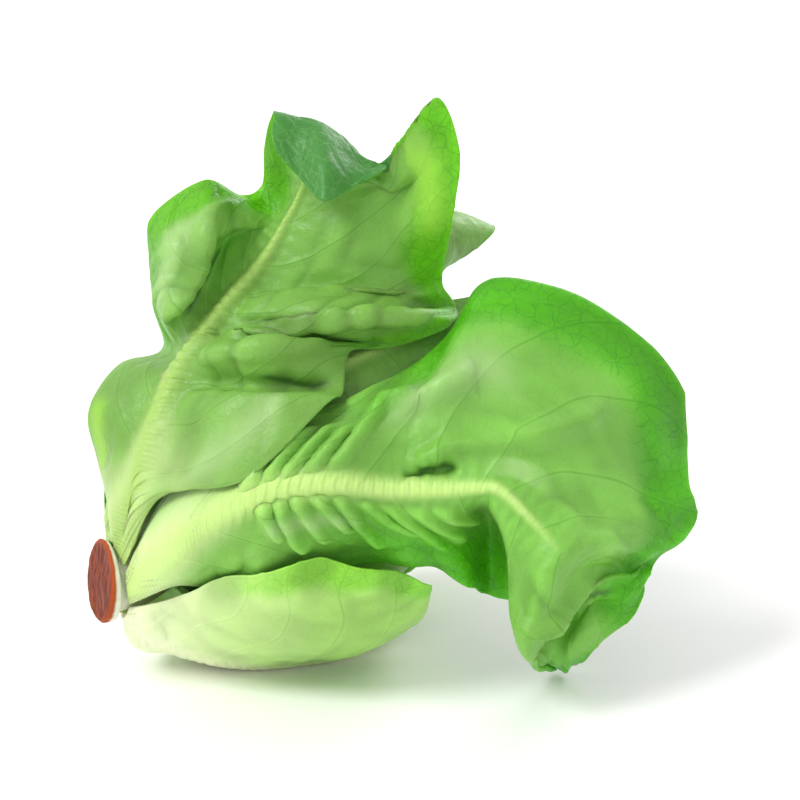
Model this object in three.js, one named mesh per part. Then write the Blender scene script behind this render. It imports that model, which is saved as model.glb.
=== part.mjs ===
import * as THREE from "three";

// A butterhead lettuce lying on its side, in millimetres, +Z up.
// The cut stem points to -X. The backs of the three largest leaves, with their raised ribs, face -Y.
// Every leaf and the stem is one closed solid. Leaves are modelled round the head and then the
// whole head is moved so that its box stands on the origin.

// Driving dimensions
const stemRadius = 13.5; // the collar at the cut end
const neckRadius = 10.4; // the stem just behind the collar
const budRadius = 3; // the growing tip inside the heart
const cutHeight = -2.4; // the cut face stands out this far behind the origin of heights
const collarLength = 1.2;
const neckLength = 12;
const stemLength = 49;
const bendLength = 60; // the stem swings from its cut to the head's axis over this length
const leafThickness = 1.2;
const leafBaseThickness = 2; // outer leaves are fleshy where they leave the stem
const wrapperBaseThickness = 1.3;
const ribHeight = 2.6; // how far an outer leaf's rib stands out near its base
const ribShare = 0.16; // of a half-leaf's width, taken by the rib
const fit = 0.35; // clear space between neighbours that touch
const heartRadius = 13; // the innermost leaf
const shellStep = 3.1; // each further leaf is this much larger in radius
const heartBase = 46; // where the innermost leaf starts, from the cut
const baseStep = 2.4; // each further leaf starts this much nearer the cut
const heartTop = 80;
const topStep = 4.4; // and closes this much further out
const outerBaseHeight = 4; // where the six outer leaves leave the stem, from the cut
const outerBaseHalfWidth = 26; // degrees of the stem that one outer leaf takes
const outerBaseGap = 0.65; // clear space between the neck and an outer leaf's base
const outerBaseRadius = neckRadius + outerBaseGap + leafBaseThickness / 2;
const restHeight = 1; // the lowest leaf is pressed flat at this height
const goldenAngle = 137.5; // degrees from one leaf to the next

const cutCentre = new THREE.Vector3(-93, -31, 37);
const stemAxis = new THREE.Vector3(0.913, 0.406, -0.05).normalize();
const headAxis = new THREE.Vector3(0.836, 0.393, 0.38).normalize();
const towardsFront = new THREE.Vector3(0.357, -0.92, 0.162).normalize(); // angle 0 round the head
const towardsFloor = new THREE.Vector3().crossVectors(headAxis, towardsFront); // angle 90

const leafGreen = "#7fbf3f";
const paleGreen = "#a9d56a";
const heartYellow = "#dcea8e";

const radians = (degrees) => (degrees * Math.PI) / 180;
const mix = THREE.MathUtils.lerp;
const ease = (t) => THREE.MathUtils.smoothstep(t, 0, 1);

// The stem's centre line leaves the cut square to it and swings to the head's axis.
function centreLine(height) {
  const swing = height < bendLength ? height * (1 - height / bendLength) ** 2 : 0;
  return cutCentre
    .clone()
    .addScaledVector(headAxis, height - swing)
    .addScaledVector(stemAxis, swing);
}

// A point at a height along the head, a distance from its centre line and an angle round it.
function headPoint(height, radius, angle) {
  return centreLine(height)
    .addScaledVector(towardsFront, radius * Math.cos(radians(angle)))
    .addScaledVector(towardsFloor, radius * Math.sin(radians(angle)));
}

// The same, with the section square to the stem itself, for what sits on the stem.
function stemPoint(height, radius, angle) {
  const along = centreLine(height + 0.1).sub(centreLine(height)).normalize();
  const front = towardsFront.clone().addScaledVector(along, -towardsFront.dot(along)).normalize();
  const floor = new THREE.Vector3().crossVectors(along, front);
  return centreLine(height)
    .addScaledVector(front, radius * Math.cos(radians(angle)))
    .addScaledVector(floor, radius * Math.sin(radians(angle)));
}

function coreRadius(height) {
  if (height < neckLength) return neckRadius;
  return mix(neckRadius, budRadius, (height - neckLength) / (stemLength - neckLength));
}

// Triangles of one closed sheet: an outer grid, an inner grid turned over, and a rim round both.
function closedSheet(outer, inner, rows, columns) {
  const width = columns + 1;
  const under = outer.length;
  const faces = [];
  const quad = (a, b, c, d) => faces.push(a, b, c, a, c, d);
  for (let i = 0; i < rows; i++) {
    for (let j = 0; j < columns; j++) {
      const a = i * width + j;
      quad(a, a + 1, a + width + 1, a + width);
      quad(under + a, under + a + width, under + a + width + 1, under + a + 1);
    }
  }
  for (let j = 0; j < columns; j++) {
    const tip = rows * width + j;
    quad(j, under + j, under + j + 1, j + 1);
    quad(tip, tip + 1, under + tip + 1, under + tip);
  }
  for (let i = 0; i < rows; i++) {
    const left = i * width;
    const right = left + columns;
    quad(left, left + width, under + left + width, under + left);
    quad(right, under + right, under + right + width, right + width);
  }
  const geometry = new THREE.BufferGeometry().setFromPoints([...outer, ...inner]);
  geometry.setIndex(faces);
  geometry.computeVertexNormals();
  return geometry;
}

// Columns stand closer together at the rib, across = -1 at the left margin and 1 at the right.
function columnPlaces(columns) {
  const crowding = 1.15;
  return Array.from({ length: columns + 1 }, (_, j) => {
    const even = (2 * j) / columns - 1;
    return Math.sign(even) * Math.abs(even) ** crowding;
  });
}

// The outward direction at each point of a grid, from the quads round it.
function gridNormals(grid, rows, columns) {
  const normals = grid.map((row) => row.map(() => new THREE.Vector3()));
  for (let i = 0; i < rows; i++) {
    for (let j = 0; j < columns; j++) {
      const falling = grid[i + 1][j].clone().sub(grid[i][j + 1]);
      const rising = grid[i + 1][j + 1].clone().sub(grid[i][j]);
      const facing = rising.cross(falling);
      for (const [row, column] of [[i, j], [i + 1, j], [i, j + 1], [i + 1, j + 1]]) {
        normals[row][column].add(facing);
      }
    }
  }
  normals.flat().forEach((normal) => normal.normalize());
  return normals;
}

// Gives a leaf's middle surface its thickness, with the rib standing out of its outer side.
function leafSolid(surface, rows, columns, rib, baseThickness) {
  const across = columnPlaces(columns);
  const middle = [];
  for (let i = 0; i <= rows; i++) {
    middle.push(across.map((v) => surface(i / rows, v)));
  }
  const outwards = gridNormals(middle, rows, columns);
  const outer = [];
  const inner = [];
  for (let i = 0; i <= rows; i++) {
    const along = i / rows;
    const half = mix(baseThickness, leafThickness, ease(along * 4)) / 2;
    for (let j = 0; j <= columns; j++) {
      const ribShape = Math.max(0, 1 - Math.abs(across[j]) / ribShare);
      const raised = half + rib * ease(along * 8) * (1 - along) * ribShape;
      const outside = middle[i][j].clone().addScaledVector(outwards[i][j], raised);
      const inside = middle[i][j].clone().addScaledVector(outwards[i][j], -half);
      outside.z = Math.max(outside.z, restHeight);
      inside.z = Math.max(inside.z, restHeight + leafThickness);
      outer.push(outside);
      inner.push(inside);
    }
  }
  return closedSheet(outer, inner, rows, columns);
}

function finish(name, geometry, colour) {
  const material = new THREE.MeshStandardMaterial({ color: colour, roughness: 0.5, metalness: 0 });
  const mesh = new THREE.Mesh(geometry, material);
  mesh.name = name;
  return mesh;
}

// The stem: a short collar at the cut, a neck behind it, and a taper to the growing tip.
function stem() {
  const sides = 20;
  const sections = [
    [cutHeight, stemRadius - 0.8],
    [cutHeight + 0.8, stemRadius],
    [collarLength, stemRadius - 0.3],
    [collarLength + 0.4, neckRadius],
    [neckLength, neckRadius],
    [mix(neckLength, stemLength, 0.5), mix(neckRadius, budRadius, 0.5)],
    [stemLength - 2, coreRadius(stemLength - 2)],
    [stemLength, budRadius / 2],
  ];
  const points = [stemPoint(cutHeight, 0, 0)];
  for (const [height, radius] of sections) {
    for (let side = 0; side < sides; side++) {
      points.push(stemPoint(height, radius, (360 * side) / sides));
    }
  }
  points.push(stemPoint(stemLength, 0, 0));
  const faces = [];
  const last = points.length - 1;
  for (let side = 0; side < sides; side++) {
    const next = (side + 1) % sides;
    faces.push(0, 1 + next, 1 + side);
    for (let row = 0; row < sections.length - 1; row++) {
      const a = 1 + row * sides + side;
      const b = 1 + row * sides + next;
      faces.push(a, b, b + sides, a, b + sides, a + sides);
    }
    faces.push(last, last - sides + side, last - sides + next);
  }
  const geometry = new THREE.BufferGeometry().setFromPoints(points);
  geometry.setIndex(faces);
  geometry.computeVertexNormals();
  return finish("stem", geometry, "#8a3b22");
}

// One leaf laid out along its rib. At each station: the rib, the left and right margins as seen
// from outside with the base below, and how far each half swells out square to itself.
// A fold moves the sheet round a place on it (station, across) by a vector.
function laidLeaf({ name, angle, stations, folds, rows, columns, colour }) {
  const baseRow = [-1, -0.5, 0, 0.5, 1].map((v) =>
    stemPoint(outerBaseHeight, outerBaseRadius, angle + v * outerBaseHalfWidth),
  );
  const ribs = [baseRow[2], ...stations.map(({ rib }) => new THREE.Vector3(...rib))];
  const rowsAcross = stations.map(({ left, right, swell }, station) => {
    const middle = ribs[station + 1];
    const along = (ribs[station + 2] ?? middle).clone().sub(ribs[station]);
    const margins = [left, right].map((p) => new THREE.Vector3(...p));
    const halves = margins.map((margin, side) => {
      const across = side === 0 ? middle.clone().sub(margin) : margin.clone().sub(middle);
      const outwards = across.cross(along).normalize();
      return margin.clone().add(middle).multiplyScalar(0.5).addScaledVector(outwards, swell[side]);
    });
    return [margins[0], halves[0], middle, halves[1], margins[1]];
  });
  const all = [baseRow, ...rowsAcross];
  const rails = [0, 1, 2, 3, 4].map((k) => {
    const points = all.map((row) => row[k]);
    return new THREE.CatmullRomCurve3(points, false, "catmullrom", 0.5);
  });
  const surface = (u, v) => {
    const row = rails.map((rail) => rail.getPoint(u));
    const point = new THREE.CatmullRomCurve3(row, false, "catmullrom", 0.5).getPoint((v + 1) / 2);
    for (const { at, spread, move } of folds) {
      const along = (u * stations.length - at[0]) / spread[0];
      const sideways = (v - at[1]) / spread[1];
      const share = Math.exp(-along * along - sideways * sideways);
      point.addScaledVector(new THREE.Vector3(...move), share);
    }
    return point;
  };
  return finish(name, leafSolid(surface, rows, columns, ribHeight, leafBaseThickness), colour);
}

const topLeaf = {
  name: "outer_leaf_top",
  angle: -55,
  rows: 36,
  columns: 16,
  colour: leafGreen,
  stations: [
    { left: [-92, -28, 64], rib: [-81, -40, 65], right: [-72, -48, 71], swell: [3, 2] },
    { left: [-96, -18, 74], rib: [-76, -38, 82], right: [-45, -64, 81], swell: [3, 5] },
    { left: [-99, -14, 89], rib: [-72, -33, 94], right: [-20, -57, 103], swell: [3, 10] },
    { left: [-90, -4, 102], rib: [-68, -30, 104], right: [-15, -48, 104], swell: [2, 9] },
    { left: [-77, 8, 105], rib: [-63, -28, 112], right: [-13, -34, 114], swell: [0, 18] },
    { left: [-77, -10, 124], rib: [-59, -26, 118], right: [-1, -26, 113], swell: [10, 8] },
    { left: [-79, -10, 140], rib: [-54, -23, 124], right: [19, -18, 119], swell: [13, 21] },
    { left: [-77, -6, 152], rib: [-48, -20, 131], right: [21, -8, 123], swell: [13, 7] },
    { left: [-60, -6, 164], rib: [-41, -16, 139], right: [16, -8, 131], swell: [3, 10] },
    { left: [-50, 2, 157], rib: [-35, -13, 148], right: [19, -26, 154], swell: [-6, 3] },
    { left: [-43, 6, 160], rib: [-30, -11, 157], right: [21, -30, 178], swell: [-4, 0] },
    { left: [-42, 3, 173], rib: [-27, -10, 166], right: [13, -30, 194], swell: [-2, 0] },
    { left: [-38, -8, 186], rib: [-23, -8, 182], right: [1, -20, 170], swell: [0, 0] },
    { left: [-38, -16, 181], rib: [-21, -28, 173], right: [-1, -17, 170], swell: [4, 2] },
    { left: [-37, -20, 175], rib: [-21, -36, 162], right: [-2, -22, 170], swell: [5, 2] },
  ],
  folds: [
    { at: [7.8, -0.22], spread: [1.4, 0.13], move: [3, 18, 7] },
    { at: [10.4, 0.62], spread: [1.1, 0.12], move: [2, 6, 0] },
    { at: [11.9, 0.62], spread: [0.9, 0.22], move: [1, 3, -19] },
  ],
};

const frontLeaf = {
  name: "outer_leaf_front",
  angle: 8,
  rows: 28,
  columns: 16,
  colour: leafGreen,
  stations: [
    { left: [-71, -42, 70], rib: [-70, -53, 54], right: [-69, -47, 41], swell: [2, 2] },
    { left: [-54, -50, 84], rib: [-58, -56, 65], right: [-57, -47, 40], swell: [3, 3] },
    { left: [-36, -50, 97], rib: [-45, -62, 74], right: [-44, -51, 42], swell: [3, 3] },
    { left: [-15, -47, 102], rib: [-33, -64, 79], right: [-32, -54, 46], swell: [3, 3] },
    { left: [1, -36, 108], rib: [-18, -64, 80], right: [-12, -55, 50], swell: [5, 3] },
    { left: [15, -24, 114], rib: [-2, -60, 77], right: [9, -49, 48], swell: [7, 4] },
    { left: [30, -12, 132], rib: [15, -60, 77], right: [24, -43, 39], swell: [9, -1] },
    { left: [64, -10, 126], rib: [27, -61, 78], right: [32, -36, 32], swell: [4, -11] },
    { left: [94, -14, 100], rib: [33, -62, 77], right: [41, -42, 32], swell: [2, 1] },
    { left: [96, -20, 68], rib: [42, -62, 68], right: [42, -36, 18], swell: [1, 12] },
    { left: [99, -26, 57], rib: [52, -62, 57], right: [50, -30, 7], swell: [1, 18] },
    { left: [84, -40, 45], rib: [60, -60, 44], right: [55, -22, 1.8], swell: [1, 13] },
    { left: [81, -41, 42], rib: [67, -45, 22], right: [58, -26, 6], swell: [4, 4] },
  ],
  folds: [
    { at: [11, 0.1], spread: [0.45, 0.7], move: [0, -6, 1] },
    { at: [11.95, 0.1], spread: [0.4, 0.9], move: [0, 9, 0] },
  ],
};

const bottomLeaf = {
  name: "outer_leaf_bottom",
  angle: 71,
  rows: 16,
  columns: 14,
  colour: paleGreen,
  stations: [
    { left: [-71, -46, 36], rib: [-79, -27, 17], right: [-84, -10, 9], swell: [3, 3] },
    { left: [-57, -54, 45], rib: [-64, -22, 8], right: [-68, 14, 8], swell: [7, 4] },
    { left: [-39, -61, 52], rib: [-48, -17, 3], right: [-50, 31, 4], swell: [10, 3] },
    { left: [-22, -67, 58], rib: [-33, -13, 2.5], right: [-32, 37, 4], swell: [13, 3] },
    { left: [-4, -63, 53], rib: [-18, -8, 3], right: [-14, 35, 4], swell: [11, 3] },
    { left: [10, -50, 44], rib: [-4, 0, 8], right: [0, 26, 8], swell: [7, 3] },
    { left: [12, -36, 37], rib: [3, 4, 14], right: [5, 15, 12], swell: [4, 1] },
  ],
  folds: [],
};

// A leaf whose upper part opens away from the head, with waved margins: the three at the back and
// one under the top leaf. Tuck moves its two margins in under a neighbour, or out over it.
function openLeaf({ name, angle, twist, profile, halfWidth, tuck, wave }) {
  const rise = new THREE.SplineCurve(profile.map(([height, radius]) => new THREE.Vector2(height, radius)));
  const left = new THREE.SplineCurve(halfWidth.map(([degrees], k) => new THREE.Vector2(k, degrees)));
  const right = new THREE.SplineCurve(halfWidth.map(([, degrees], k) => new THREE.Vector2(k, degrees)));
  const surface = (u, v) => {
    const { x: height, y: radius } = rise.getPoint(u);
    const spread = (v < 0 ? left : right).getPoint(u).y;
    const tucked = (v < 0 ? tuck[0] : tuck[1]) * Math.abs(v) * ease(u * 5);
    const ripple = wave * Math.abs(v) ** 3 * ease(u * 1.8 - 0.6) * Math.sin(u * 21 + v * 2 + angle);
    const drop = 1 - 0.2 * Math.abs(v) ** 2.5 * ease(u * 1.4);
    const place = [height * drop, radius + tucked + ripple, angle + twist * u + v * spread];
    return stemPoint(...place).lerp(headPoint(...place), ease(u * 4));
  };
  return finish(name, leafSolid(surface, 18, 12, ribHeight, leafBaseThickness), paleGreen);
}

const openLeaves = [
  {
    name: "outer_leaf_bottom_back",
    angle: 131,
    twist: 0,
    profile: [
      [outerBaseHeight, outerBaseRadius],
      [13, 22],
      [24, 35],
      [42, 48],
      [66, 56],
      [92, 58],
      [118, 62],
      [138, 72],
    ],
    halfWidth: [[24, 26], [21, 31], [23, 34], [24, 36], [24, 34], [24, 30], [22, 24], [12, 12]],
    tuck: [-4, 4],
    wave: 3,
  },
  {
    name: "outer_leaf_back",
    angle: 192,
    twist: 0,
    profile: [
      [outerBaseHeight, outerBaseRadius],
      [13, 22],
      [24, 35],
      [42, 48],
      [66, 59],
      [92, 68],
      [114, 78],
      [130, 92],
    ],
    halfWidth: [[26, 26], [30, 29], [33, 31], [34, 33], [31, 33], [29, 32], [24, 26], [12, 12]],
    tuck: [-5, 6],
    wave: 4,
  },
  {
    name: "outer_leaf_top_back",
    angle: 248,
    twist: 22,
    profile: [
      [outerBaseHeight, outerBaseRadius],
      [13, 21],
      [24, 32],
      [44, 47],
      [72, 58],
      [104, 61],
      [134, 59],
      [158, 54],
      [172, 42],
    ],
    halfWidth: [[26, 26], [29, 20], [31, 20], [34, 26], [38, 32], [40, 36], [39, 38], [36, 37], [18, 20]],
    tuck: [-4, -2],
    wave: 4,
  },
  {
    name: "inner_leaf_top",
    angle: -40,
    twist: 0,
    profile: [[12, 11.7], [20, 18.5], [34, 34], [56, 49], [84, 53], [110, 48], [132, 43], [148, 40]],
    halfWidth: [[24, 26], [20, 28], [14, 32], [12, 38], [18, 42], [26, 42], [26, 34], [16, 20]],
    tuck: [2, -2],
    wave: 3,
  },
];

// A leaf that wraps the heart. Shell 0 is the innermost; each shell is clear of the one inside it.
function wrappedLeaf(name, shell, colour, cells) {
  const radius = heartRadius + shellStep * shell;
  const bottom = heartBase - baseStep * shell;
  const top = heartTop + topStep * shell;
  const reach = (top - bottom) / 2;
  const centre = (top + bottom) / 2;
  const heightAt = (turn) => centre - reach * Math.cos(radians(turn));
  let start = 2;
  while (radius * Math.sin(radians(start)) < coreRadius(heightAt(start)) + fit + wrapperBaseThickness) {
    start += 0.5;
  }
  const end = 132 + 5 * (shell % 3);
  const angle = shell * goldenAngle + 20;
  const surface = (u, v) => {
    const turn = mix(start, end - 26 * Math.abs(v) ** 3, u);
    const widest = mix(38, 76, ease(u * 2.2));
    const spread = widest * (1 - 0.35 * ease(u * 2.5 - 1.5));
    const ripple = 0.35 * Math.abs(v) ** 2 * Math.sin(u * 15 + v * 3 + shell);
    return headPoint(
      heightAt(turn),
      radius * Math.sin(radians(turn)) + ripple * ease(u * 3),
      angle + v * spread,
    );
  };
  return finish(name, leafSolid(surface, cells, cells, 0, wrapperBaseThickness), colour);
}

const lettuce = new THREE.Group();
lettuce.add(stem());
for (const leaf of [topLeaf, frontLeaf, bottomLeaf]) {
  lettuce.add(laidLeaf(leaf));
}
for (const leaf of openLeaves) {
  lettuce.add(openLeaf(leaf));
}
const heartLeaves = 7;
const wrapperLeaves = 6;
for (let shell = 0; shell < heartLeaves; shell++) {
  lettuce.add(wrappedLeaf(`heart_leaf_${shell + 1}`, shell, heartYellow, 8));
}
for (let k = 0; k < wrapperLeaves; k++) {
  lettuce.add(wrappedLeaf(`wrapper_leaf_${k + 1}`, heartLeaves + k, paleGreen, 11));
}

const box = new THREE.Box3().setFromObject(lettuce);
const middle = box.getCenter(new THREE.Vector3());
lettuce.position.set(-middle.x, -middle.y, -box.min.z);

export default lettuce;
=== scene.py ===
import math
import bpy
import bmesh
import numpy as np
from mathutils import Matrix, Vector


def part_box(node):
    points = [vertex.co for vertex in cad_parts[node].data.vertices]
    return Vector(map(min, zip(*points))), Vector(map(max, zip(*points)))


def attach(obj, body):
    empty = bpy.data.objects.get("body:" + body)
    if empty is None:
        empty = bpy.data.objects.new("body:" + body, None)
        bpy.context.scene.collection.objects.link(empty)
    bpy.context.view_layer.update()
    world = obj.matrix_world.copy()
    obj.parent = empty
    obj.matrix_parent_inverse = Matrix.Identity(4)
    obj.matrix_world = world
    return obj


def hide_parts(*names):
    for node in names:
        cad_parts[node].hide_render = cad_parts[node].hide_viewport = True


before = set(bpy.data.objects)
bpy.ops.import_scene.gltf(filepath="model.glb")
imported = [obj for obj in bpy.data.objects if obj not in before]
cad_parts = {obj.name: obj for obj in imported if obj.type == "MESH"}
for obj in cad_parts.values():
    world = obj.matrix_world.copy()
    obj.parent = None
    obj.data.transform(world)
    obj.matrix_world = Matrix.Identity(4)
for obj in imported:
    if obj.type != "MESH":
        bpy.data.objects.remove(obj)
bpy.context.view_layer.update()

print("frame loaded:", len(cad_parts), "nodes")

# The head's own axes, in metres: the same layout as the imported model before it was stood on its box
head = {
    "cutCentre": (-0.093, -0.031, 0.037),
    "stemAxis": (0.913, 0.406, -0.05),
    "headAxis": (0.836, 0.393, 0.38),
    "towardsFront": (0.357, -0.92, 0.162),  # angle 0 round the head
    "bendLength": 0.060,  # the stem swings to the head's axis over this length
    "stemBoxMiddle": (-0.07572, -0.02663, 0.04036),  # of the stem in this layout
    "restHeight": 0.001,  # the lowest leaf is pressed flat here
}


def unit(v):
    v = np.asarray(v, float)
    return v / np.maximum(np.linalg.norm(v, axis=-1, keepdims=True), 1e-12)


cutCentre = np.array(head["cutCentre"])
stemAxis = unit(head["stemAxis"])
headAxis = unit(head["headAxis"])
towardsFront = unit(head["towardsFront"])
towardsFloor = np.cross(headAxis, towardsFront)  # angle 90
stemLow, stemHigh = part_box("stem")
toFrame = (np.array(stemLow) + np.array(stemHigh)) / 2 - np.array(head["stemBoxMiddle"])


def ease(t):
    t = np.clip(t, 0, 1)
    return t * t * (3 - 2 * t)


def mix(a, b, t):
    return a + (b - a) * t


def centreLine(height):
    h = np.asarray(height, float)[..., None]
    bend = head["bendLength"]
    swing = np.where(h < bend, h * (1 - h / bend) ** 2, 0)
    return cutCentre + headAxis * (h - swing) + stemAxis * swing


def headPoint(height, radius, degrees):
    turn = np.radians(degrees)[..., None]
    out = towardsFront * np.cos(turn) + towardsFloor * np.sin(turn)
    return centreLine(height) + out * np.asarray(radius)[..., None]


def stemPoint(height, radius, degrees):
    height = np.asarray(height, float)
    along = unit(centreLine(height + 0.0001) - centreLine(height))
    front = unit(towardsFront - along * (along @ towardsFront)[..., None])
    floor = np.cross(along, front)
    turn = np.radians(degrees)[..., None]
    out = front * np.cos(turn) + floor * np.sin(turn)
    return centreLine(height) + out * np.asarray(radius)[..., None]


def smoothLine(points, t, repeatEnds=False):
    # a Catmull-Rom curve through points, read at t from 0 to 1
    points = np.asarray(points, float)
    last = len(points) - 1
    place = np.clip(t, 0, 1) * last
    k = np.clip(np.floor(place).astype(int), 0, last - 1)
    f = (place - k).reshape(place.shape + (1,) * (points.ndim - 1))
    if repeatEnds:
        ends = np.concatenate([points[:1], points, points[-1:]])
    else:
        ends = np.concatenate([2 * points[:1] - points[1:2], points, 2 * points[-1:] - points[-2:-1]])
    a, b, c, d = ends[k], ends[k + 1], ends[k + 2], ends[k + 3]
    m, n = (c - a) / 2, (d - b) / 2
    return (2 * b - 2 * c + m + n) * f**3 + (3 * c - 3 * b - 2 * m - n) * f**2 + m * f + b


def softNoise(x, y, seed):
    # smooth random hills between -1 and 1, one hill for each unit of x and y
    table = np.random.default_rng(seed).random((61, 67)) * 2 - 1
    i, j = np.floor(x).astype(int), np.floor(y).astype(int)
    f, g = x - i, y - j
    f = f**3 * (f * (f * 6 - 15) + 10)
    g = g**3 * (g * (g * 6 - 15) + 10)
    low = mix(table[i % 61, j % 67], table[(i + 1) % 61, j % 67], f)
    high = mix(table[i % 61, (j + 1) % 67], table[(i + 1) % 61, (j + 1) % 67], f)
    return mix(low, high, g)


def outwardsOf(grid):
    along = np.gradient(grid, axis=0)
    across = np.gradient(grid, axis=1)
    return unit(np.cross(across, along))


def arcs(grid):
    # metres along the rib, and metres out from the rib with its side as the sign
    middle = grid.shape[1] // 2
    rib = np.linalg.norm(np.diff(grid[:, middle], axis=0), axis=-1)
    along = np.concatenate([[0], np.cumsum(rib)])
    steps = np.linalg.norm(np.diff(grid, axis=1), axis=-1)
    out = np.concatenate([np.zeros((grid.shape[0], 1)), np.cumsum(steps, axis=1)], axis=1)
    return along[:, None] * np.ones((1, grid.shape[1])), out - out[:, middle : middle + 1]


def ridgeMask(grid, u, v, line, width):
    # 1 along a line over the leaf and falling to 0 beside it; line holds (u, v) places
    reach = 0.1  # keeps layers that lie on each other apart
    places = np.concatenate([grid, reach * u[..., None], reach * v[..., None]], axis=-1)
    rows, columns = u.shape
    steps = np.linspace(0, 1, 4 * len(line))
    curve = smoothLine(line, steps)
    at = np.clip(curve[:, 0], 0, 1) * (rows - 1)
    row = np.rint(at).astype(int)
    column = np.array([np.argmin(np.abs(v[r] - c)) for r, c in zip(row, curve[:, 1])])
    knots = places[row, column]
    best = np.full(u.shape, 9.0)
    share = np.zeros(u.shape)
    for k in range(len(knots) - 1):
        step = knots[k + 1] - knots[k]
        size = max(step @ step, 1e-12)
        t = np.clip(((places - knots[k]) @ step) / size, 0, 1)
        distance = np.linalg.norm(places - knots[k] - t[..., None] * step, axis=-1)
        nearer = distance < best
        best = np.where(nearer, distance, best)
        share = np.where(nearer, (k + t) / (len(knots) - 1), share)
    return np.exp(-((best / width) ** 2)) * ease(share * 5) * ease((1 - share) * 5)


def leafMesh(name, rows, columns, outer, inner, fields):
    # a grid for the outer side, a copy turned over for the inner side, and a rim that joins them
    bm = bmesh.new()
    bmesh.ops.create_grid(bm, x_segments=columns, y_segments=rows, size=1)
    side = bm.verts.layers.int.new("side")
    upper = bm.verts[:] + bm.edges[:] + bm.faces[:]
    rim = [edge for edge in bm.edges if edge.is_boundary]
    copy = bmesh.ops.duplicate(bm, geom=upper)
    for vert in [item for item in copy["geom"] if isinstance(item, bmesh.types.BMVert)]:
        vert[side] = 1
        vert.co.z = -0.5 / columns
    bmesh.ops.reverse_faces(bm, faces=[f for f in copy["geom"] if isinstance(f, bmesh.types.BMFace)])
    under = [e for e in copy["geom"] if isinstance(e, bmesh.types.BMEdge) and e.is_boundary]
    bmesh.ops.bridge_loops(bm, edges=rim + under)
    mesh = bpy.data.meshes.new(name)
    bm.to_mesh(mesh)
    bm.free()
    count = len(mesh.vertices)
    flat = np.zeros(count * 3, np.float32)
    mesh.vertices.foreach_get("co", flat)
    flat = flat.reshape(-1, 3)
    i = np.rint((flat[:, 1] + 1) / 2 * rows).astype(int)
    j = np.rint((flat[:, 0] + 1) / 2 * columns).astype(int)
    isInner = np.zeros(count, np.int32)
    mesh.attributes["side"].data.foreach_get("value", isInner)
    mesh.attributes.remove(mesh.attributes["side"])
    place = np.where(isInner[:, None] == 1, inner[i, j], outer[i, j]) + toFrame
    mesh.vertices.foreach_set("co", place.astype(np.float32).ravel())
    for field, values in fields.items():
        spread = mesh.attributes.new(field, "FLOAT", "POINT")
        spread.data.foreach_set("value", values[i, j].astype(np.float32))
    within = mesh.attributes.new("inner", "FLOAT", "POINT")
    within.data.foreach_set("value", isInner.astype(np.float32))
    mesh.update()
    mesh.shade_smooth()
    piece = bpy.data.objects.new(name, mesh)
    bpy.context.scene.collection.objects.link(piece)
    return piece


def onLeaf(leaf, places):
    # (station, across) places as (u, v)
    return [(place / leaf["spans"], across) for place, across in places]


def gather(leaf, middle, u, v):
    # short folds side by side, such as the fingers of skin that bunch up along the rib
    lift = np.zeros(u.shape)
    for bunch in leaf.get("gathers", []):
        for k in range(bunch["count"]):
            share = k / max(bunch["count"] - 1, 1)
            start = mix(bunch["from"], bunch["to"], share)
            reach = bunch["reach"] * (0.85 + 0.3 * ((k * 5) % 3) / 2)
            halfWay = (start + 0.4 * bunch["slant"], mix(bunch["foot"], reach, 0.5))
            line = [(start, bunch["foot"]), halfWay, (start + bunch["slant"], reach)]
            mask = ridgeMask(middle, u, v, onLeaf(leaf, line), bunch["width"])
            lift = np.maximum(lift, bunch["rise"] * mask)
    return lift


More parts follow.
